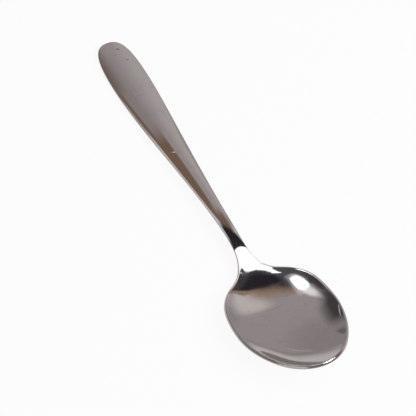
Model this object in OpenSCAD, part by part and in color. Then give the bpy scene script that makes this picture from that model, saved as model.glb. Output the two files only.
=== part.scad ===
// Soup spoon, pressed from one strip of stainless steel.
// A curved die surface is trimmed by the spoon's outline and given the thickness of the strip.
// The handle's end is at the left, the bowl's tip at the right, and the spoon lies on z = 0.

/* [Overall] */
// Length from the handle's end to the bowl's tip
total_l = 190; // [170:1:215]
// Radius of the polished edges
edge_r = 0.5; // [0.2:0.05:0.6]

/* [Bowl] */
// Width of the bowl over its rim
bowl_w = 45; // [38:0.1:50]
// Length from the narrowest part of the neck to the tip
bowl_l = 70.5; // [64:0.5:77]
// Distance from the tip back to the widest section
bowl_widest = 30; // [26:0.5:33]
// Depth of the dish below its rim, across the widest section
bowl_depth = 6.8; // [5.5:0.1:9]
// Distance from the tip back to the lowest point
bowl_lowest = 39; // [35:0.5:42]
// Height of the rim at the tip above the table
tip_h = 18.2; // [15:0.1:22]
// Thickness of the bowl's wall
bowl_t = 1.6; // [1.3:0.05:2.2]

/* [Neck] */
// Width at the narrowest part
neck_w = 5.7; // [4.2:0.1:7]
// Thickness at the narrowest part
neck_t = 2.4; // [1.8:0.05:3]
// Rise of the neck's rounded top over its edges
neck_crown = 0.7; // [0.2:0.05:0.9]
// Distance from the narrowest part back to the crest, where the handle is highest
crest_l = 11; // [6:0.5:16]
// Height of the top surface at the crest
crest_h = 6.5; // [5.8:0.1:8]
// Distance from the narrowest part to the throat, where the top surface falls most steeply
throat_l = 7.5; // [6:0.5:9.5]
// Height of the top surface at the throat
throat_h = 4.2; // [3.7:0.1:5]
// Distance from the narrowest part to where the hollow begins
hollow_l = 13; // [11:0.5:15.5]
// Radius across the spoon where the hollow begins
hollow_r = 20; // [12:0.5:28]
// Distance from the narrowest part to where the full dish starts
dish_start_l = 21.5; // [18:0.5:28]

/* [Handle] */
// Greatest width of the handle
handle_w = 17.4; // [14:0.2:22]
// Distance from the handle's end to its widest section
handle_widest = 22; // [18:0.5:30]
// Thickness of the handle
handle_t = 1.8; // [1.4:0.05:2.4]
// Rise of the handle's rounded top over its edges, at its widest section
handle_crown = 0.9; // [0.3:0.05:1.4]
// Height of the top surface at the handle's end
handle_end_h = 2.7; // [2.2:0.1:3.5]

/* [Hidden] */

// Lengths of the outline's tangents, as shares of the stretch or the half width that they follow
end_side_share = 0.65;
end_top_share = 0.84;
taper_wide_share = 0.27;
taper_neck_share = 0.33;
flare_neck_share = 0.61;
flare_bowl_share = 0.75;
tip_wide_share = 0.4;
tip_side_share = 0.61;

// Place along the taper, as a share of its curve, where the neck starts
neck_start_share = 0.72;
// Share of the flare's curve over which its sections turn from upright to square with the surface
upright_share = 0.3;

// Slopes of the top surface along the spoon, at the throat and at the tip
throat_slope = -0.3;
tip_slope = 0.86;

// Numbers of steps: across half the top, round each edge corner, and along each stretch of the outline
half_steps = 8;
corner_steps = 3;
end_steps = 14;
taper_steps = 20;
neck_steps = 8;
upright_steps = 6;
flare_steps = 13;
tip_steps = 18;

// The dish's rise across it, and how far the square-cut rim leans out past its top edge
dish_reach = bowl_w / 2 - bowl_t / 2;
dish_k2 = bowl_depth / pow(dish_reach, 2);
rim_lean = atan(2 * dish_k2 * dish_reach);
tip_lean = atan(tip_slope);
function overhang(lean) = edge_r * (1 - cos(lean)) + (bowl_t - edge_r) * sin(lean);

// Stations along the spoon, from the handle's end
neck_x = total_l - bowl_l;
crest_x = neck_x - crest_l;
throat_x = neck_x + throat_l;
hollow_x = neck_x + hollow_l;
dish_x = neck_x + dish_start_l;
lowest_x = total_l - bowl_lowest;
widest_x = total_l - bowl_widest;
tip_x = total_l - overhang(tip_lean);

// Half widths of the top outline
handle_half = handle_w / 2;
neck_half = neck_w / 2;
bowl_half = bowl_w / 2 - overhang(rim_lean);

// The top outline of one side, as four tangent curves from the handle's end to the bowl's tip
end_curve = [
    [0, 0],
    [0, end_side_share * handle_half],
    [(1 - end_top_share) * handle_widest, handle_half],
    [handle_widest, handle_half]];
taper_l = neck_x - handle_widest;
taper_curve = [
    [handle_widest, handle_half],
    [handle_widest + taper_wide_share * taper_l, handle_half],
    [neck_x - taper_neck_share * taper_l, neck_half],
    [neck_x, neck_half]];
flare_l = widest_x - neck_x;
flare_curve = [
    [neck_x, neck_half],
    [neck_x + flare_neck_share * flare_l, neck_half],
    [widest_x - flare_bowl_share * flare_l, bowl_half],
    [widest_x, bowl_half]];
tip_curve = [
    [widest_x, bowl_half],
    [widest_x + tip_wide_share * (tip_x - widest_x), bowl_half],
    [tip_x, tip_side_share * bowl_half],
    [tip_x, 0]];

// Profiles along the spoon, each a list of [station, value, slope]
spine_profile = [
    [0, handle_end_h, 0],
    [handle_widest, handle_t + handle_crown, 0],
    [crest_x, crest_h, 0],
    [throat_x, throat_h, throat_slope],
    [lowest_x, bowl_t, 0],
    [tip_x, tip_h, tip_slope]];
handle_k2 = -handle_crown / pow(handle_half, 2);
neck_k2 = -neck_crown / pow(neck_half, 2);
hollow_k2 = 1 / (2 * hollow_r);
k2_profile = [
    [0, handle_k2, 0],
    [handle_widest, handle_k2, 0],
    [neck_x, neck_k2, 0],
    [hollow_x, hollow_k2, 0],
    [dish_x, dish_k2, 0],
    [tip_x, dish_k2, 0]];
thickness_profile = [
    [0, handle_t, 0],
    [handle_widest, handle_t, 0],
    [neck_x, neck_t, 0],
    [dish_x, bowl_t, 0],
    [tip_x, bowl_t, 0]];

// A cubic curve in the plane, and its direction
function curve_point(c, t) =
    pow(1 - t, 3) * c[0] + 3 * pow(1 - t, 2) * t * c[1] + 3 * (1 - t) * t * t * c[2] + pow(t, 3) * c[3];
function curve_direction(c, t) =
    pow(1 - t, 2) * (c[1] - c[0]) + 2 * (1 - t) * t * (c[2] - c[1]) + t * t * (c[3] - c[2]);

// A smooth profile's value and slope at a station
function profile_span(profile, x, i = 0) =
    i >= len(profile) - 2 || x < profile[i + 1][0] ? i : profile_span(profile, x, i + 1);
function profile_value(profile, x) =
    let (
        i = profile_span(profile, x),
        a = profile[i],
        b = profile[i + 1],
        span = b[0] - a[0],
        t = (x - a[0]) / span
    )
    (2 * t * t * t - 3 * t * t + 1) * a[1] + (t * t * t - 2 * t * t + t) * span * a[2]
    + (3 * t * t - 2 * t * t * t) * b[1] + (t * t * t - t * t) * span * b[2];
function profile_slope(profile, x) =
    let (
        i = profile_span(profile, x),
        a = profile[i],
        b = profile[i + 1],
        span = b[0] - a[0],
        t = (x - a[0]) / span
    )
    6 * (t * t - t) * (a[1] - b[1]) / span + (3 * t * t - 4 * t + 1) * a[2] + (3 * t * t - 2 * t) * b[2];

// The die surface, which is the spoon's top, and its unit normal.
// lean is 1 where the normal may lean along the spoon, and 0 where a section stays in its own plane.
function die_z(x, y) =
    profile_value(spine_profile, x) + profile_value(k2_profile, x) * y * y;
function die_normal(x, y, lean) =
    let (
        along = profile_slope(spine_profile, x) + profile_slope(k2_profile, x) * y * y,
        across = 2 * profile_value(k2_profile, x) * y,
        n = [-lean * along, -across, 1]
    )
    n / norm(n);

function mirrored(points) = [for (p = points) [p[0], -p[1], p[2]]];
function reversed(list) = [for (i = [len(list) - 1:-1:0]) list[i]];

// The outward direction in the surface at the edge, square to the outline
function edge_outward(direction, n, lean) =
    let (
        flat = [-lean * direction[1], direction[0], 0],
        outward = flat - (flat * n) * n
    )
    outward / norm(outward);

// The rounded edge from the top to the underside, without the two points that belong to those faces
function edge_arc(corner, n, outward, t) =
    let (
        step = 90 / corner_steps,
        inset = corner - edge_r * outward,
        upper = inset - edge_r * n,
        lower = inset - (t - edge_r) * n
    )
    concat(
        [for (i = [1:corner_steps]) upper + edge_r * (sin(i * step) * outward + cos(i * step) * n)],
        [for (i = [0:corner_steps - 1]) lower + edge_r * (cos(i * step) * outward - sin(i * step) * n)]);

// One closed section: over the top, down one edge, back along the underside and up the other edge
function section(curve, share, lean) =
    let (
        place = curve_point(curve, share),
        t = profile_value(thickness_profile, place[0]),
        n = die_normal(place[0], place[1], lean),
        outward = edge_outward(curve_direction(curve, share), n, lean),
        corner = [place[0], place[1], die_z(place[0], place[1])],
        inset = corner - edge_r * outward,
        edge = edge_arc(corner, n, outward, t),
        top = [for (i = [half_steps:-1:-half_steps])
            let (y = inset[1] * i / half_steps)
            [inset[0], y, die_z(inset[0], y)]],
        under = [for (p = reversed(top)) p - t * die_normal(p[0], p[1], lean)]
    )
    concat(top, mirrored(edge), under, reversed(edge));

// Sections along a stretch of the outline, between two shares of its curve
function sections(curve, from, to, steps, first, lean_from, lean_to) =
    [for (i = [first:steps])
        section(curve, from + (to - from) * i / steps, lean_from + (lean_to - lean_from) * i / steps)];

// Counts of points: along one face, along one edge, and round a whole section
face_points = 2 * half_steps + 1;
edge_points = 2 * corner_steps;
section_points = 2 * face_points + 2 * edge_points;
fold_points = edge_points + 2;

// At a rounded end the section folds to a single line down the edge
function folded(points) =
    concat([points[0]], [for (i = [0:edge_points]) points[face_points + i]]);
function fold_index(j) =
    j < face_points ? 0 :
    j < face_points + edge_points ? j - face_points + 1 :
    j < 2 * face_points + edge_points ? edge_points + 1 :
    section_points - j;
function distinct(f) = f[0] != f[1] && f[1] != f[2] && f[2] != f[0];

// A closed solid through sections in order along the spoon, folded at its first or last one if asked
module loft(list, fold_first = false, fold_last = false) {
    last = len(list) - 1;
    points = [for (i = [0:last])
        each (fold_first && i == 0) || (fold_last && i == last) ? folded(list[i]) : list[i]];
    offset_first = fold_first ? fold_points - section_points : 0;
    function at(i, j) =
        let (k = j % section_points)
        fold_first && i == 0 ? fold_index(k) :
        offset_first + i * section_points + (fold_last && i == last ? fold_index(k) : k);
    function far_side(j) = j < half_steps || j >= half_steps + section_points / 2;
    sides = [for (i = [0:last - 1], j = [0:section_points - 1])
        let (a = at(i, j), b = at(i, j + 1), c = at(i + 1, j + 1), d = at(i + 1, j))
        each far_side(j) ? [[a, d, c], [a, c, b]] : [[a, d, b], [d, c, b]]];
    first_cap = fold_first ? [] : [[for (j = [0:section_points - 1]) at(0, j)]];
    last_cap = fold_last ? [] : [[for (j = [section_points - 1:-1:0]) at(last, j)]];
    polyhedron(points, concat([for (f = sides) if (distinct(f)) f], first_cap, last_cap), convexity = 4);
}

steel_color = "#b4b0ad";

// The dished bowl, from the narrowest part of the neck to the tip
module bowl() {
    color(steel_color)
        translate([-total_l / 2, 0, 0])
            loft(
                concat(
                    sections(flare_curve, 0, upright_share, upright_steps, 0, 0, 1),
                    sections(flare_curve, upright_share, 1, flare_steps, 1, 1, 1),
                    sections(tip_curve, 0, 1, tip_steps, 1, 1, 1)),
                fold_last = true);
}

// The narrow neck, thicker than the strip on both sides of it
module neck() {
    color(steel_color)
        translate([-total_l / 2, 0, 0])
            loft(sections(taper_curve, neck_start_share, 1, neck_steps, 0, 0, 0));
}

// The tapering handle with its rounded end and lightly crowned top
module handle() {
    color(steel_color)
        translate([-total_l / 2, 0, 0])
            loft(
                concat(
                    sections(end_curve, 0, 1, end_steps, 0, 1, 1),
                    sections(taper_curve, 0, neck_start_share, taper_steps, 1, 1, 0)),
                fold_first = true);
}

bowl();
neck();
handle();
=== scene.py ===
"""A soup spoon pressed from one strip of stainless steel, dressed for its picture."""

import logging
import math
from dataclasses import dataclass, field
from enum import Enum
from typing import Any, Callable, Optional, Union

import bpy
from mathutils import Matrix, Vector


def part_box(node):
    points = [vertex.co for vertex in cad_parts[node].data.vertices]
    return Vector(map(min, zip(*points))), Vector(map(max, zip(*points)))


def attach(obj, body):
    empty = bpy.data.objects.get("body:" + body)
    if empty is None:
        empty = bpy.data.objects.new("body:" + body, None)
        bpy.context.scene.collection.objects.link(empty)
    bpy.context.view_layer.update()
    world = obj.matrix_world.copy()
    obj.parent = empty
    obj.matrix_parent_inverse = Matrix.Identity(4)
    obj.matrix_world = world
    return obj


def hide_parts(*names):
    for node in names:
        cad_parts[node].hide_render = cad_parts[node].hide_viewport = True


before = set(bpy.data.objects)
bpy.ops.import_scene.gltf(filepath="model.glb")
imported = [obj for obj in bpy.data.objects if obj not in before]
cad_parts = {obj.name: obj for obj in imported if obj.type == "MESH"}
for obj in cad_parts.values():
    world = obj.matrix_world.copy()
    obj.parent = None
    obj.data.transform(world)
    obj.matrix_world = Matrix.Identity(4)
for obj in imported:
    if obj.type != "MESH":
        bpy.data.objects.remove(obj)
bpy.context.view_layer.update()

logging.basicConfig(level=logging.INFO, format="%(message)s")
LOG = logging.getLogger("spoon")

Colour = tuple[float, float, float]
Point = tuple[float, float, float]
Span = tuple[float, float]
Fades = tuple[float, float, float, float]
Number = Union[float, "Value"]
Paint = Union[Colour, bpy.types.NodeSocket]

BLACK: Colour = (0.0, 0.0, 0.0)
WHITE: Colour = (1.0, 1.0, 1.0)
# A near-white colour for scrapes: a painted glint over a real, rougher scrape.
SCRAPE_GLINT: Colour = (0.95, 0.93, 0.9)
MICROMETRE = 1e-6
# Watts per square metre that give an area lamp a brightness of 1.
LAMP_WATTS = 4.0
# A Mix node's sockets for colours; its other sockets are for numbers and vectors.
MIX_SHARE, MIX_FIRST, MIX_SECOND, MIX_RESULT = 0, 6, 7, 2


class Region(Enum):
    """The three regions of the pressed strip, by the names of their CAD nodes."""

    BOWL = "bowl"
    NECK = "neck"
    HANDLE = "handle"


class Value:
    """A number socket that takes part in Python expressions, which add Math nodes."""

    def __init__(self, graph: "Graph", socket: bpy.types.NodeSocket) -> None:
        """Keeps the graph and the socket that gives the number."""
        self.graph = graph
        self.socket = socket

    def _math(self, operation: str, first: Number, second: Number) -> "Value":
        """Adds one Math node.

        Args:
            operation: the Math node's operation.
            first: its first number.
            second: its second number.

        Returns:
            The node's result.
        """
        node = self.graph.node("ShaderNodeMath", {"operation": operation}, {0: first, 1: second})
        return Value(self.graph, node.outputs[0])

    def __add__(self, other: Number) -> "Value":
        """The sum."""
        return self._math("ADD", self, other)

    __radd__ = __add__

    def __sub__(self, other: Number) -> "Value":
        """The difference."""
        return self._math("SUBTRACT", self, other)

    def __rsub__(self, other: Number) -> "Value":
        """The difference the other way round."""
        return self._math("SUBTRACT", other, self)

    def __mul__(self, other: Number) -> "Value":
        """The product."""
        return self._math("MULTIPLY", self, other)

    __rmul__ = __mul__

    def __truediv__(self, other: Number) -> "Value":
        """The quotient."""
        return self._math("DIVIDE", self, other)

    def __pow__(self, other: Number) -> "Value":
        """The power."""
        return self._math("POWER", self, other)

    def larger(self, other: Number) -> "Value":
        """The larger of the two."""
        return self._math("MAXIMUM", self, other)


class Graph:
    """The nodes of one material or of the world."""

    def __init__(self, tree: bpy.types.NodeTree) -> None:
        """Empties the tree."""
        self.tree = tree
        tree.nodes.clear()

    def node(
        self,
        kind: str,
        settings: Optional[dict[str, Any]] = None,
        inputs: Optional[dict[Union[str, int], Any]] = None,
    ) -> bpy.types.Node:
        """Adds one node.

        Args:
            kind: the node's type.
            settings: its properties, set first.
            inputs: values or links of its sockets, by name or index.

        Returns:
            The new node.
        """
        made = self.tree.nodes.new(kind)
        for name, setting in (settings or {}).items():
            setattr(made, name, setting)
        for name, given in (inputs or {}).items():
            socket = made.inputs[name]
            if isinstance(given, Value):
                self.tree.links.new(given.socket, socket)
            elif isinstance(given, bpy.types.NodeSocket):
                self.tree.links.new(given, socket)
            else:
                socket.default_value = given
        return made

    def value(self, socket: bpy.types.NodeSocket) -> Value:
        """The socket as a number for expressions."""
        return Value(self, socket)

    def plan(self, coordinates: bpy.types.NodeSocket) -> tuple[Value, Value]:
        """A place's or a direction's parts along and across the spoon."""
        parts = self.node("ShaderNodeSeparateXYZ", None, {0: coordinates}).outputs
        return self.value(parts[0]), self.value(parts[1])

    def smooth_step(self, number: Number, low: float, high: float) -> Value:
        """Rises smoothly from 0 at low to 1 at high.

        Args:
            number: what is looked up.
            low: where the rise starts.
            high: where the rise ends, which may be below low.

        Returns:
            The share of the rise.
        """
        node = self.node(
            "ShaderNodeMapRange",
            {"interpolation_type": "SMOOTHSTEP"},
            {"Value": number, "From Min": low, "From Max": high},
        )
        return self.value(node.outputs["Result"])

    def band(self, number: Number, fades: Fades) -> Value:
        """Rises from 0 to 1, stays there and falls again.

        Args:
            number: what is looked up.
            fades: where the band sets in, is full, starts to fade and ends.

        Returns:
            The share of the band.
        """
        sets_in, full, fading, ends = fades
        return self.smooth_step(number, sets_in, full) * self.smooth_step(number, ends, fading)

    def mix(self, share: Number, first: Paint, second: Paint) -> bpy.types.NodeSocket:
        """Mixes two colours.

        Args:
            share: 0 for the first colour and 1 for the second.
            first: a colour or a colour socket.
            second: a colour or a colour socket.

        Returns:
            The mixed colour's socket.
        """
        colours = [
            paint if isinstance(paint, bpy.types.NodeSocket) else (*paint, 1.0)
            for paint in (first, second)
        ]
        node = self.node(
            "ShaderNodeMix",
            {"data_type": "RGBA"},
            {MIX_SHARE: share, MIX_FIRST: colours[0], MIX_SECOND: colours[1]},
        )
        return node.outputs[MIX_RESULT]


def new_material(name: str) -> tuple[bpy.types.Material, Graph]:
    """Adds a material.

    Args:
        name: the material's name.

    Returns:
        The material and its empty graph.
    """
    made = bpy.data.materials.new(name)
    made.use_nodes = True
    return made, Graph(made.node_tree)


def deselect_all() -> None:
    """Leaves edit mode and selects nothing."""
    if bpy.context.object and bpy.context.object.mode != "OBJECT":
        bpy.ops.object.mode_set(mode="OBJECT")
    bpy.ops.object.select_all(action="DESELECT")


def activate(item: bpy.types.Object) -> None:
    """Makes one object the only selected and active one.

    Args:
        item: the object.
    """
    deselect_all()
    item.select_set(True)
    bpy.context.view_layer.objects.active = item


def select_faces(
    item: bpy.types.Object, wanted: Callable[[bpy.types.MeshPolygon], bool]
) -> None:
    """Selects faces by a test and enters edit mode.

    Args:
        item: the mesh object.
        wanted: tells whether a face is selected.
    """
    activate(item)
    bpy.ops.object.mode_set(mode="EDIT")
    bpy.ops.mesh.select_mode(type="FACE")
    bpy.ops.mesh.select_all(action="DESELECT")
    bpy.ops.object.mode_set(mode="OBJECT")
    for face in item.data.polygons:
        face.select = wanted(face)
    bpy.ops.object.mode_set(mode="EDIT")


@dataclass(frozen=True)
class Grain:
    """A noise pattern, with its scale in patches per metre and its turn in degrees."""

    scale: float
    detail: float = 2.0
    stretch: Point = (1.0, 1.0, 1.0)
    turn: float = 0.0
    coarseness: float = 0.55

    def pattern(self, graph: Graph, spots: bpy.types.NodeSocket) -> Value:
        """Adds the pattern to a material.

        Args:
            graph: the material's nodes.
            spots: object coordinates.

        Returns:
            The pattern, about 0.5 on average.
        """
        mapped = graph.node(
            "ShaderNodeMapping",
            None,
            {
                "Vector": spots,
                "Rotation": (0.0, 0.0, math.radians(self.turn)),
                "Scale": self.stretch,
            },
        )
        made = graph.node(
            "ShaderNodeTexNoise",
            {"noise_dimensions": "3D"},
            {
                "Vector": mapped.outputs[0],
                "Scale": self.scale,
                "Detail": self.detail,
                "Roughness": self.coarseness,
            },
        )
        return graph.value(made.outputs[0])


@dataclass(frozen=True)
class Mark:
    """A small dent on the spoon's top, as a soft-edged ellipse: darker, or a scrape with a painted
    glint.
    """

    place: Span
    half_length: float
    half_width: float
    turn: float
    depth: float
    colour: Colour = (0.2, 0.18, 0.17)
    roughness: float = 0.3
    edge: Span = (1.3, 0.3)

    def share(self, graph: Graph, spots: bpy.types.NodeSocket) -> Value:
        """The mark's mask.

        Args:
            graph: the material's nodes.
            spots: object coordinates.

        Returns:
            Up to the mark's depth inside it and 0 outside.
        """
        turned = graph.node(
            "ShaderNodeMapping",
            {"vector_type": "TEXTURE"},
            {
                "Vector": spots,
                "Location": (*self.place, 0.0),
                "Rotation": (0.0, 0.0, math.radians(self.turn)),
                "Scale": (self.half_length, self.half_width, 1.0),
            },
        )
        long, short = graph.plan(turned.outputs[0])
        return graph.smooth_step(long ** 2.0 + short ** 2.0, *self.edge) * self.depth


@dataclass(frozen=True)
class PolishedSteel:
    """Polished stainless steel with the smudges and fine scratches of daily use."""

    clean: Colour = (0.62, 0.592, 0.583)
    smudged: Colour = (0.53, 0.5, 0.488)
    gloss: float = 0.045
    smudge_gloss: float = 0.03
    scratch_gloss: float = 0.06
    smudges: Grain = Grain(70.0, detail=4.0)
    smudge_edge: Span = (0.38, 0.68)
    speckles: Grain = Grain(2600.0)
    lengthwise: Grain = Grain(1500.0, stretch=(0.03, 1.0, 1.0), turn=4.0)
    crosswise: Grain = Grain(1100.0, stretch=(1.0, 0.05, 1.0), turn=31.0)
    scratch_edge: Span = (0.6, 0.75)
    smudge_stain: float = 0.2
    speckle_stain: float = 0.2
    scratch_stain: float = 0.8
    scratch_relief: float = 0.6
    speckle_relief: float = 0.4
    mark_relief: float = 8.0
    fine_height: float = 0.000004
    fine_strength: float = 0.5
    swell: Grain = Grain(95.0)
    swell_height: float = 0.000006
    marks: tuple[Mark, ...] = (
        Mark((-0.08965, 0.00267), 0.0009, 0.0004, 62.0, 0.9),
        Mark((-0.08254, 0.00372), 0.0009, 0.00035, 75.0, 0.75),
        Mark((-0.08699, 0.00005), 0.0007, 0.0003, 62.0, 0.35),
        # The next two are scrapes, rougher and dented, whose near-white colour is a painted glint.
        Mark((-0.02762, -0.00181), 0.0011, 0.00032, 62.0, 1.0, SCRAPE_GLINT, 0.5),
        Mark((0.0727, 0.0195), 0.0034, 0.00022, -23.0, 1.0, SCRAPE_GLINT, 0.5),
    )

    def material(self) -> bpy.types.Material:
        """Builds the finish.

        Returns:
            The new material.
        """
        made, graph = new_material("polished_steel")
        spots = graph.node("ShaderNodeTexCoord").outputs["Object"]
        smudge = graph.smooth_step(self.smudges.pattern(graph, spots), *self.smudge_edge)
        speckle = self.speckles.pattern(graph, spots)
        strokes = self.lengthwise.pattern(graph, spots).larger(self.crosswise.pattern(graph, spots))
        scratch = graph.smooth_step(strokes, *self.scratch_edge)
        stain = smudge * self.smudge_stain + speckle * self.speckle_stain
        stain = stain + scratch * self.scratch_stain
        colour = graph.mix(stain, self.clean, self.smudged)
        rough = self.gloss + smudge * self.smudge_gloss + scratch * self.scratch_gloss
        relief = scratch * self.scratch_relief + speckle * self.speckle_relief
        for mark in self.marks:
            spot = mark.share(graph, spots)
            colour = graph.mix(spot, colour, mark.colour)
            rough = rough + spot * mark.roughness
            relief = relief - spot * self.mark_relief
        soft = graph.node(
            "ShaderNodeBump",
            None,
            {
                "Strength": 1.0,
                "Distance": self.swell_height,
                "Height": self.swell.pattern(graph, spots),
            },
        )
        fine = graph.node(
            "ShaderNodeBump",
            None,
            {
                "Strength": self.fine_strength,
                "Distance": self.fine_height,
                "Height": relief,
                "Normal": soft.outputs[0],
            },
        )
        shader = graph.node(
            "ShaderNodeBsdfPrincipled",
            None,
            {"Base Color": colour, "Metallic": 1.0, "Roughness": rough, "Normal": fine.outputs[0]},
        )
        graph.node("ShaderNodeOutputMaterial", None, {"Surface": shader.outputs[0]})
        return made


@dataclass(frozen=True)
class Easing:
    """A lattice that eases the dish and the throat, alike on both sides of the middle line.

    Each row is a station along the spoon and each number a lift in micrometres, from the middle
    outwards.
    """

    start: float = 0.0125
    pitch: Span = (0.0068, 0.0052)
    lifts: tuple[tuple[int, ...], ...] = (
        (101, 138, 174, 144, 75),
        (136, 309, 369, 264, 128),
        (302, 580, 481, 299, 150),
        (-125, 168, 197, 225, 161),
        (-93, -391, -360, 118, 122),
        (34, -88, -122, -148, -150),
        (-1, -116, -106, -124, -279),
        (-22, -92, -81, 20, -101),
        (56, 47, 20, 76, -136),
        (159, 177, 182, 115, -220),
        (186, 154, 21, 40, 101),
        (128, 18, -279, -172, 3),
        (38, -60, -188, -133, -43),
    )

    def apply(self, item: bpy.types.Object) -> None:
        """Eases one object, with a rim of still points round the lattice.

        Args:
            item: the mesh object.
        """
        rows, wide = len(self.lifts) + 2, len(self.lifts[0])
        data = bpy.data.lattices.new("easing")
        data.points_u, data.points_v, data.points_w = rows, 2 * wide + 1, 1
        data.interpolation_type_u = data.interpolation_type_v = "KEY_BSPLINE"
        lattice = bpy.data.objects.new("easing", data)
        bpy.context.scene.collection.objects.link(lattice)
        first, last = data.points[0].co, data.points[-1].co
        lattice.scale = (
            self.pitch[0] * (rows - 1) / (last[0] - first[0]),
            self.pitch[1] * 2 * wide / (last[1] - first[1]),
            1.0,
        )
        lattice.location[0] = self.start - self.pitch[0] - first[0] * lattice.scale[0]
        lattice.location[1] = -self.pitch[1] * wide - first[1] * lattice.scale[1]
        for row, lifts in enumerate(self.lifts, 1):
            for column in range(1 - wide, wide):
                point = data.points[row + (column + wide) * rows]
                point.co_deform[2] = point.co[2] + lifts[abs(column)] * MICROMETRE
        bpy.context.view_layer.update()
        activate(item)
        ease = item.modifiers.new("ease", "LATTICE")
        ease.object = lattice
        bpy.ops.object.modifier_apply(modifier=ease.name)
        bpy.data.objects.remove(lattice, do_unlink=True)
        bpy.data.lattices.remove(data)


@dataclass
class PressedSpoon:
    """The pressed strip: one smooth shell, parted into bowl, neck and handle at their joints.

    Points within merge of each other become one. A face within reach of a joint that lies square
    on to the length closes a region there. Triangles pair up to the angle and skew in degrees.
    """

    steel: PolishedSteel = field(default_factory=PolishedSteel)
    easing: Easing = field(default_factory=Easing)
    merge: float = 0.000002
    reach: float = 0.00002
    square_on: float = 0.99
    pair_angle: float = 60.0
    pair_skew: float = 100.0
    levels: int = 2

    def build(self) -> list[bpy.types.Object]:
        """Models and dresses the three pieces.

        Returns:
            The finished pieces.
        """
        finish = self.steel.material()
        shell = self._shell()
        made = []
        for region in Region:
            piece = self._part(shell, region)
            piece.data.materials.clear()
            piece.data.materials.append(finish)
            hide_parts(region.value)
            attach(piece, "root")
            made.append(piece)
        bpy.data.objects.remove(shell, do_unlink=True)
        return made

    def _joints(self) -> Span:
        """Stations of the joints between handle and neck, and between neck and bowl."""
        low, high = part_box(Region.NECK.value)
        return low[0], high[0]

    def _shell(self) -> bpy.types.Object:
        """One smooth closed shell from the three CAD regions.

        Returns:
            The shell's object.
        """
        deselect_all()
        copies = []
        for region in Region:
            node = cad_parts[region.value]
            copy = bpy.data.objects.new("shell_" + region.value, node.data.copy())
            bpy.context.scene.collection.objects.link(copy)
            copy.select_set(True)
            copies.append(copy)
        bpy.context.view_layer.objects.active = copies[0]
        bpy.ops.object.join()
        shell = bpy.context.view_layer.objects.active
        joints = self._joints()

        def inner(face: bpy.types.MeshPolygon) -> bool:
            """Tells whether a face closes a region at a joint."""
            at_joint = any(abs(face.center[0] - joint) < self.reach for joint in joints)
            return at_joint and abs(face.normal[0]) > self.square_on

        select_faces(shell, inner)
        bpy.ops.mesh.delete(type="FACE")
        bpy.ops.mesh.select_mode(type="VERT")
        bpy.ops.mesh.select_all(action="SELECT")
        bpy.ops.mesh.remove_doubles(threshold=self.merge)
        bpy.ops.mesh.tris_convert_to_quads(
            face_threshold=math.radians(self.pair_angle),
            shape_threshold=math.radians(self.pair_skew),
        )
        bpy.ops.object.mode_set(mode="OBJECT")
        smooth = shell.modifiers.new("smooth", "SUBSURF")
        smooth.levels = smooth.render_levels = self.levels
        bpy.ops.object.modifier_apply(modifier=smooth.name)
        self.easing.apply(shell)
        bpy.ops.object.shade_smooth()
        LOG.info("shell: %d faces", len(shell.data.polygons))
        return shell

    def _part(self, shell: bpy.types.Object, region: Region) -> bpy.types.Object:
        """Parts one region from the shell and closes it at its joints.

        Args:
            shell: the whole shell, which stays as it is.
            region: the region that is kept.

        Returns:
            The region's piece, with the shell's own shading at the joints.
        """
        back, front = self._joints()
        spans = {
            Region.HANDLE: (-math.inf, back),
            Region.NECK: (back, front),
            Region.BOWL: (front, math.inf),
        }
        start, end = spans[region]
        piece = bpy.data.objects.new("spoon_" + region.value, shell.data.copy())
        bpy.context.scene.collection.objects.link(piece)
        select_faces(piece, lambda face: not start < face.center[0] < end)
        bpy.ops.mesh.delete(type="FACE")
        bpy.ops.mesh.select_mode(type="VERT")
        bpy.ops.mesh.select_all(action="SELECT")
        bpy.ops.mesh.fill_holes(sides=0)
        bpy.ops.object.mode_set(mode="OBJECT")
        shading = piece.modifiers.new("shading", "DATA_TRANSFER")
        shading.object = shell
        shading.use_loop_data = True
        shading.data_types_loops = {"CUSTOM_NORMAL"}
        shading.loop_mapping = "NEAREST_NORMAL"
        bpy.ops.object.modifier_apply(modifier=shading.name)
        return piece


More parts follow.
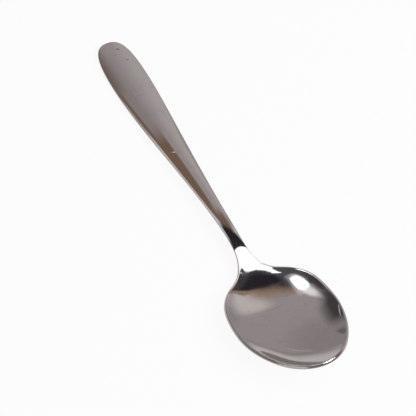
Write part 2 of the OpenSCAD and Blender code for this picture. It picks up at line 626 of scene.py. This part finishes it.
@dataclass
class Floor:
    """A wide pale floor that reads white and keeps the spoon's faint shadow."""

    radius: float = 6.0
    sides: int = 96
    drop: float = 0.0002
    tint: Colour = (0.75, 0.75, 0.75)
    glow: float = 0.93
    mirrored_glow: float = 0.7
    mirrored_tint: Colour = (1.0, 0.91, 0.915)
    pool: Span = (0.06, 0.0)
    pool_reach: Span = (0.26, 0.02)
    pool_lift: float = 0.48
    beyond_pool: float = 0.29

    def build(self) -> bpy.types.Object:
        """Lays the floor.

        Returns:
            The floor's object.
        """
        deselect_all()
        bpy.ops.mesh.primitive_circle_add(
            vertices=self.sides,
            radius=self.radius,
            fill_type="NGON",
            location=(0.0, 0.0, -self.drop),
        )
        floor = bpy.context.object
        floor.name = "floor"
        bpy.ops.object.transform_apply(location=True, rotation=True, scale=True)
        floor.data.materials.append(self._finish())
        return floor

    def _finish(self) -> bpy.types.Material:
        """Paints the floor, which the steel mirrors brightest in a pool of light round the bowl.

        Returns:
            The new material.
        """
        made, graph = new_material("pale_floor")
        path = graph.node("ShaderNodeLightPath").outputs
        direct = graph.value(path["Is Camera Ray"])
        through = graph.value(path["Is Transmission Ray"])
        mirrored = graph.value(path["Is Glossy Ray"]).larger(through)
        along, across = graph.plan(graph.node("ShaderNodeTexCoord").outputs["Object"])
        off_x, off_y = along - self.pool[0], across - self.pool[1]
        away = (off_x * off_x + off_y * off_y) ** 0.5
        pool = graph.smooth_step(away, *self.pool_reach) * self.pool_lift + self.beyond_pool
        strength = direct + (1.0 - direct) * pool
        matt = graph.node("ShaderNodeBsdfDiffuse", None, {"Color": (*self.tint, 1.0)})
        shown = graph.mix(direct, self.mirrored_tint, WHITE)
        white = graph.node("ShaderNodeEmission", None, {"Color": shown, "Strength": strength})
        share = (direct * self.glow).larger(mirrored * self.mirrored_glow)
        both = graph.node(
            "ShaderNodeMixShader", None, {0: share, 1: matt.outputs[0], 2: white.outputs[0]}
        )
        graph.node("ShaderNodeOutputMaterial", None, {"Surface": both.outputs[0]})
        return made


@dataclass(frozen=True)
class SoftBox:
    """A soft rectangular lamp."""

    name: str
    place: Point
    aim: Point
    width: float
    height: float
    brightness: float

    def build(self) -> bpy.types.Object:
        """Hangs the lamp.

        Returns:
            The lamp's object.
        """
        light = bpy.data.lights.new(self.name, "AREA")
        light.shape = "RECTANGLE"
        light.size = self.width
        light.size_y = self.height
        light.energy = LAMP_WATTS * self.width * self.height * self.brightness
        lamp = bpy.data.objects.new(self.name, light)
        bpy.context.scene.collection.objects.link(lamp)
        away = Vector(self.place) - Vector(self.aim)
        pose = away.to_track_quat("Z", "Y").to_matrix().to_4x4()
        lamp.matrix_world = Matrix.Translation(self.place) @ pose
        return lamp


@dataclass(frozen=True)
class Patch:
    """A soft-edged field of colour on the card.

    Each span gives where the field sets in, is full, starts to fade and ends. A slant sets it in
    later towards the far side, and a waisted field follows the drawn-in side of the neck.
    """

    colour: Colour
    along: Fades
    across: Fades
    waisted: bool = False
    slant: float = 0.0

    def share(self, graph: Graph, along: Value, across: Value) -> Value:
        """How much of the field covers a place.

        Args:
            graph: the card's nodes.
            along: the place along the spoon.
            across: the place across the spoon.

        Returns:
            1 inside the field and 0 outside it.
        """
        sets_in, full, fading, ends = self.along
        slanted = along - across * self.slant if self.slant else along
        length = graph.smooth_step(slanted, sets_in, full) * graph.smooth_step(along, ends, fading)
        return length * graph.band(across, self.across)


@dataclass(frozen=True)
class Card:
    """A sheet close above the handle and the throat, which only the steel's reflections show.

    The patches lie over one another in their order as painted reflections: the handle's top, the
    neck, the bright near edge, the dark band before the throat and the white of the throat.
    Elsewhere it is clear.
    """

    name: str = "handle_reflection_card"
    low: Span = (-0.14, -0.05)
    high: Span = (0.037, 0.09)
    height: float = 0.012
    waist: float = 2.6
    waist_start: float = -0.04
    patches: tuple[Patch, ...] = (
        Patch((0.565, 0.533, 0.532), (-0.13, -0.11, -0.002, 0.01), (0.001, 0.014, 0.022, 0.028)),
        Patch((0.43, 0.4, 0.4), (-0.13, -0.11, -0.002, 0.01), (0.022, 0.028, 0.06, 0.08)),
        Patch(
            (0.355, 0.325, 0.325),
            (-0.105, -0.085, -0.055, -0.04),
            (-0.03, -0.025, -0.004, 0.005),
        ),
        Patch((0.22, 0.175, 0.15), (-0.115, -0.1, -0.08, -0.066), (-0.03, -0.025, -0.009, -0.0005)),
        Patch(
            (0.25, 0.163, 0.115),
            (-0.078, -0.069, 0.01, 0.014),
            (-0.03, -0.025, -0.0075, -0.006),
            waisted=True,
        ),
        Patch(
            (0.245, 0.163, 0.117),
            (-0.055, -0.038, -0.002, 0.01),
            (-0.03, -0.025, -0.0008, 0.0012),
        ),
        Patch((0.24, 0.167, 0.13), (0.0, 0.009, 0.016, 0.0175), (-0.03, -0.025, 0.004, 0.009)),
        Patch(
            (0.5, 0.49, 0.485),
            (-0.075, -0.065, 0.018, 0.021),
            (-0.04, -0.035, -0.0098, -0.009),
            waisted=True,
        ),
        Patch(
            (0.78, 0.76, 0.75),
            (-0.055, -0.04, 0.018, 0.021),
            (-0.025, -0.02, -0.0098, -0.009),
            waisted=True,
        ),
        Patch(
            (0.03, 0.026, 0.034),
            (0.0105, 0.0158, 0.0265, 0.027),
            (-0.0044, -0.0036, 0.012, 0.0145),
            slant=0.7,
        ),
        Patch((1.8, 1.8, 1.8), (0.0261, 0.0267, 0.0335, 0.0346), (-0.008, -0.006, 0.016, 0.02)),
        Patch((1.8, 1.8, 1.8), (0.0315, 0.0325, 0.0352, 0.0362), (0.0031, 0.0037, 0.016, 0.02)),
    )

    def build(self) -> bpy.types.Object:
        """Hangs the card where no camera, shadow or matt surface sees it.

        Returns:
            The card's object.
        """
        (left, near), (right, far) = self.low, self.high
        deselect_all()
        bpy.ops.mesh.primitive_plane_add(
            size=1.0, location=((left + right) / 2, (near + far) / 2, self.height)
        )
        card = bpy.context.object
        card.name = card.data.name = self.name
        card.scale = (right - left, far - near, 1.0)
        bpy.ops.object.transform_apply(location=True, rotation=True, scale=True)
        card.data.materials.append(self._finish())
        card.visible_camera = False
        card.visible_diffuse = False
        card.visible_shadow = False
        return card

    def _finish(self) -> bpy.types.Material:
        """Lays the patches over one another.

        Returns:
            The new material.
        """
        made, graph = new_material(self.name)
        along, across = graph.plan(graph.node("ShaderNodeTexCoord").outputs["Object"])
        drawn_in = across - (along - self.waist_start).larger(0.0) ** 2.0 * self.waist
        tone: Paint = BLACK
        clear: Paint = WHITE
        for patch in self.patches:
            share = patch.share(graph, along, drawn_in if patch.waisted else across)
            tone = graph.mix(share, tone, patch.colour)
            clear = graph.mix(share, clear, BLACK)
        glow = graph.node("ShaderNodeEmission", None, {"Color": tone, "Strength": 1.0})
        gap = graph.node("ShaderNodeBsdfTransparent", None, {"Color": clear})
        both = graph.node("ShaderNodeAddShader", None, {0: glow.outputs[0], 1: gap.outputs[0]})
        graph.node("ShaderNodeOutputMaterial", None, {"Surface": both.outputs[0]})
        return made


@dataclass(frozen=True)
class Glow:
    """A soft lamp in the surround, as an ellipse of directions."""

    centre: Span
    radii: Span
    turn: float
    full: float
    strength: float

    def share(self, graph: Graph, along: Value, across: Value) -> Value:
        """How much of the lamp shows in a direction.

        Args:
            graph: the world's nodes.
            along: the direction's part along the spoon.
            across: the direction's part across the spoon.

        Returns:
            1 inside the lamp and 0 outside it.
        """
        cos, sin = math.cos(math.radians(self.turn)), math.sin(math.radians(self.turn))
        off_x, off_y = along - self.centre[0], across - self.centre[1]
        long = (off_x * cos + off_y * sin) / self.radii[0]
        short = (off_y * cos - off_x * sin) / self.radii[1]
        return graph.smooth_step(long * long + short * short, 1.0, self.full)


@dataclass(frozen=True)
class Zone:
    """A soft-edged field of directions in one colour.

    Each edge gives where the field sets in and where it is full.
    """

    colour: Colour
    along: tuple[Span, ...] = ()
    across: tuple[Span, ...] = ()

    def over(
        self, graph: Graph, below: Paint, along: Value, across: Value
    ) -> bpy.types.NodeSocket:
        """Lays the field over what is painted so far.

        Args:
            graph: the world's nodes.
            below: the colour so far.
            along: the direction's part along the spoon.
            across: the direction's part across the spoon.

        Returns:
            The colour with the field over it.
        """
        shares = [graph.smooth_step(along, *edge) for edge in self.along]
        shares += [graph.smooth_step(across, *edge) for edge in self.across]
        return graph.mix(math.prod(shares[1:], start=shares[0]), below, self.colour)


@dataclass(frozen=True)
class Brink:
    """A line across the surround where one field meets the next, bowed at its two ends."""

    place: float
    lean: float
    far_start: float
    far_bow: float
    near_bow: float
    near_start: float = 0.15

    def past(self, along: Value, across: Value) -> Value:
        """How far a direction lies past the line.

        Args:
            along: the direction's part along the spoon.
            across: the direction's part across the spoon.

        Returns:
            0 on the line, and more towards the bowl's tip.
        """
        far = (across - self.far_start).larger(0.0) ** 2.0
        near = (self.near_start - across).larger(0.0) ** 2.0
        bow = near * self.near_bow - far * self.far_bow
        return along - self.place - across * self.lean + bow


@dataclass(frozen=True)
class Surround:
    """The studio by direction: a grey wall behind the handle with a warm edge, and a dark board.

    A white panel and soft lamps shine over them. A direction is given by its parts along and
    across the spoon.
    """

    grey: Colour = (0.413, 0.377, 0.39)
    light: Colour = (0.445, 0.409, 0.416)
    wall_rise: Span = (-0.55, -0.1)
    far_end: Zone = Zone((0.345, 0.315, 0.325), along=((-0.78, -0.97),))
    post: Zone = Zone(
        (0.19, 0.175, 0.18), along=((-0.962, -0.978),), across=((-0.15, -0.1), (-0.02, -0.06))
    )
    pale: Zone = Zone(
        (0.74, 0.695, 0.68), along=((-0.47, -0.41),), across=((0.2, 0.55), (0.9, 0.78))
    )
    hazy: Zone = Zone((0.35, 0.33, 0.33), along=((-0.38, -0.45),), across=((0.82, 0.9),))
    wall_end: Brink = Brink(-0.4, 0.04, far_start=0.66, far_bow=5.5, near_bow=0.28)
    warm: Colour = (0.4, 0.28, 0.215)
    warm_edge: Span = (-0.018, 0.018)
    warm_side: Span = (-0.28, -0.18)
    board: Brink = Brink(-0.378, 0.072, far_start=0.5, far_bow=1.78, near_bow=0.12)
    board_edge: Span = (-0.014, 0.014)
    dark: Colour = (0.028, 0.024, 0.034)
    board_front: Zone = Zone((0.07, 0.066, 0.074), along=((-0.22, -0.11),))
    board_side: Zone = Zone((0.11, 0.105, 0.115), across=((-0.03, -0.19),))
    shade: Colour = (0.075, 0.066, 0.07)
    shade_side: Span = (-0.41, -0.47)
    corner_lean: float = 0.94
    corner_edge: Span = (-0.9, -1.06)
    corner_end: Span = (-0.975, -0.9)
    near: Zone = Zone((0.2, 0.19, 0.19), across=((-0.5, -0.62),))
    side: Zone = Zone((0.72, 0.7, 0.69), along=((0.1, 0.3),), across=((-0.42, -0.6),))
    dusk: Zone = Zone((0.24, 0.22, 0.21), along=((0.45, 0.8),), across=((-0.7, -0.4),))
    cool: Colour = (0.94, 0.985, 1.0)
    panel: float = 2.4
    panel_along: Fades = (-0.103, -0.068, 0.14, 0.2)
    panel_across: Fades = (-0.27, -0.235, 0.637, 0.697)
    glows: tuple[Glow, ...] = (
        Glow((-0.404, -0.318), (0.115, 0.052), 70.0, 0.2, 3.0),
        Glow((-0.468, -0.345), (0.212, 0.073), 12.0, 0.0, 0.75),
        Glow((-0.377, -0.276), (0.15, 0.12), 0.0, 0.0, 0.35),
    )

    def build(self) -> None:
        """Paints the world."""
        world = bpy.data.worlds.new("studio")
        bpy.context.scene.world = world
        world.use_nodes = True
        graph = Graph(world.node_tree)
        along, across = graph.plan(graph.node("ShaderNodeTexCoord").outputs["Generated"])
        ground = graph.node(
            "ShaderNodeBackground",
            None,
            {"Color": self._walls(graph, along, across), "Strength": 1.0},
        )
        lamps = graph.node(
            "ShaderNodeBackground",
            None,
            {"Color": (*self.cool, 1.0), "Strength": self._lamps(graph, along, across)},
        )
        both = graph.node("ShaderNodeAddShader", None, {0: ground.outputs[0], 1: lamps.outputs[0]})
        graph.node("ShaderNodeOutputWorld", None, {"Surface": both.outputs[0]})

    def _walls(self, graph: Graph, along: Value, across: Value) -> bpy.types.NodeSocket:
        """The walls and the dark board overhead.

        Args:
            graph: the world's nodes.
            along: the direction's part along the spoon.
            across: the direction's part across the spoon.

        Returns:
            The colour in that direction.
        """
        step = graph.smooth_step
        past_wall = self.wall_end.past(along, across)
        wall = graph.mix(step(past_wall, *self.wall_rise), self.grey, self.light)
        for zone in (self.far_end, self.post, self.pale, self.hazy):
            wall = zone.over(graph, wall, along, across)
        edge = step(past_wall, *self.warm_edge) * step(across, *self.warm_side)
        wall = graph.mix(edge, wall, self.warm)
        overhead: Paint = self.dark
        for zone in (self.board_front, self.board_side):
            overhead = zone.over(graph, overhead, along, across)
        past_board = self.board.past(along, across)
        wall = graph.mix(step(past_board, *self.board_edge), wall, overhead)
        corner = step(across + along * self.corner_lean, *self.corner_edge)
        corner = corner * step(along, *self.corner_end)
        wall = graph.mix(corner.larger(step(across, *self.shade_side)), wall, self.shade)
        for zone in (self.near, self.side, self.dusk):
            wall = zone.over(graph, wall, along, across)
        return wall

    def _lamps(self, graph: Graph, along: Value, across: Value) -> Value:
        """The white panel and the soft lamps.

        Args:
            graph: the world's nodes.
            along: the direction's part along the spoon.
            across: the direction's part across the spoon.

        Returns:
            The strength in that direction.
        """
        lit = graph.band(along, self.panel_along) * graph.band(across, self.panel_across)
        white = lit * self.panel
        for glow in self.glows:
            white = white + glow.share(graph, along, across) * glow.strength
        return white


@dataclass
class Studio:
    """The surround, the fill lamp and the card."""

    surround: Surround = field(default_factory=Surround)
    lamp: SoftBox = SoftBox("fill_lamp", (0.62, 0.5, 0.75), (0.0, 0.0, 0.0), 0.6, 0.6, 6.0)
    card: Card = field(default_factory=Card)

    def build(self) -> list[bpy.types.Object]:
        """Sets up the light.

        Returns:
            The lamp and the card.
        """
        self.surround.build()
        return [self.lamp.build(), self.card.build()]


@dataclass(frozen=True)
class PhotoCamera:
    """The camera at the picture's viewing angle."""

    azimuth: float = 55.8203
    elevation: float = 54.66
    roll: float = 7.4578
    distance: float = 0.7
    target: Point = (0.0058761, -0.0036061, 0.008)
    focal_pixels: float = 1707.2355
    frame_pixels: float = 416.0
    sensor: float = 36.0
    clip: Span = (0.01, 50.0)

    def build(self) -> bpy.types.Object:
        """Places the camera and makes it the scene's own.

        Returns:
            The camera's object.
        """
        turn, rise, roll = (math.radians(a) for a in (self.azimuth, self.elevation, self.roll))
        back = Vector(
            (math.sin(turn) * math.cos(rise), -math.cos(turn) * math.cos(rise), math.sin(rise))
        )
        right = Vector((math.cos(turn), math.sin(turn), 0.0))
        up = back.cross(right)
        across = math.cos(roll) * right + math.sin(roll) * up
        upward = math.cos(roll) * up - math.sin(roll) * right
        data = bpy.data.cameras.new("photo_camera")
        data.sensor_fit = "HORIZONTAL"
        data.sensor_width = self.sensor
        data.lens = self.focal_pixels * self.sensor / self.frame_pixels
        data.clip_start, data.clip_end = self.clip
        camera = bpy.data.objects.new("photo_camera", data)
        bpy.context.scene.collection.objects.link(camera)
        pose = Matrix((across, upward, back)).transposed().to_4x4()
        pose.translation = Vector(self.target) + self.distance * back
        camera.matrix_world = pose
        bpy.context.scene.camera = camera
        return camera


def main() -> None:
    """Builds the spoon and its studio in order, and reports each piece."""
    bpy.context.scene.view_settings.view_transform = "Standard"
    PhotoCamera().build()
    for piece in PressedSpoon().build():
        LOG.info("%s: %d faces", piece.name, len(piece.data.polygons))
    LOG.info("stage: %s", Floor().build().name)
    for item in Studio().build():
        LOG.info("light: %s", item.name)


if __name__ == "__main__":
    main()
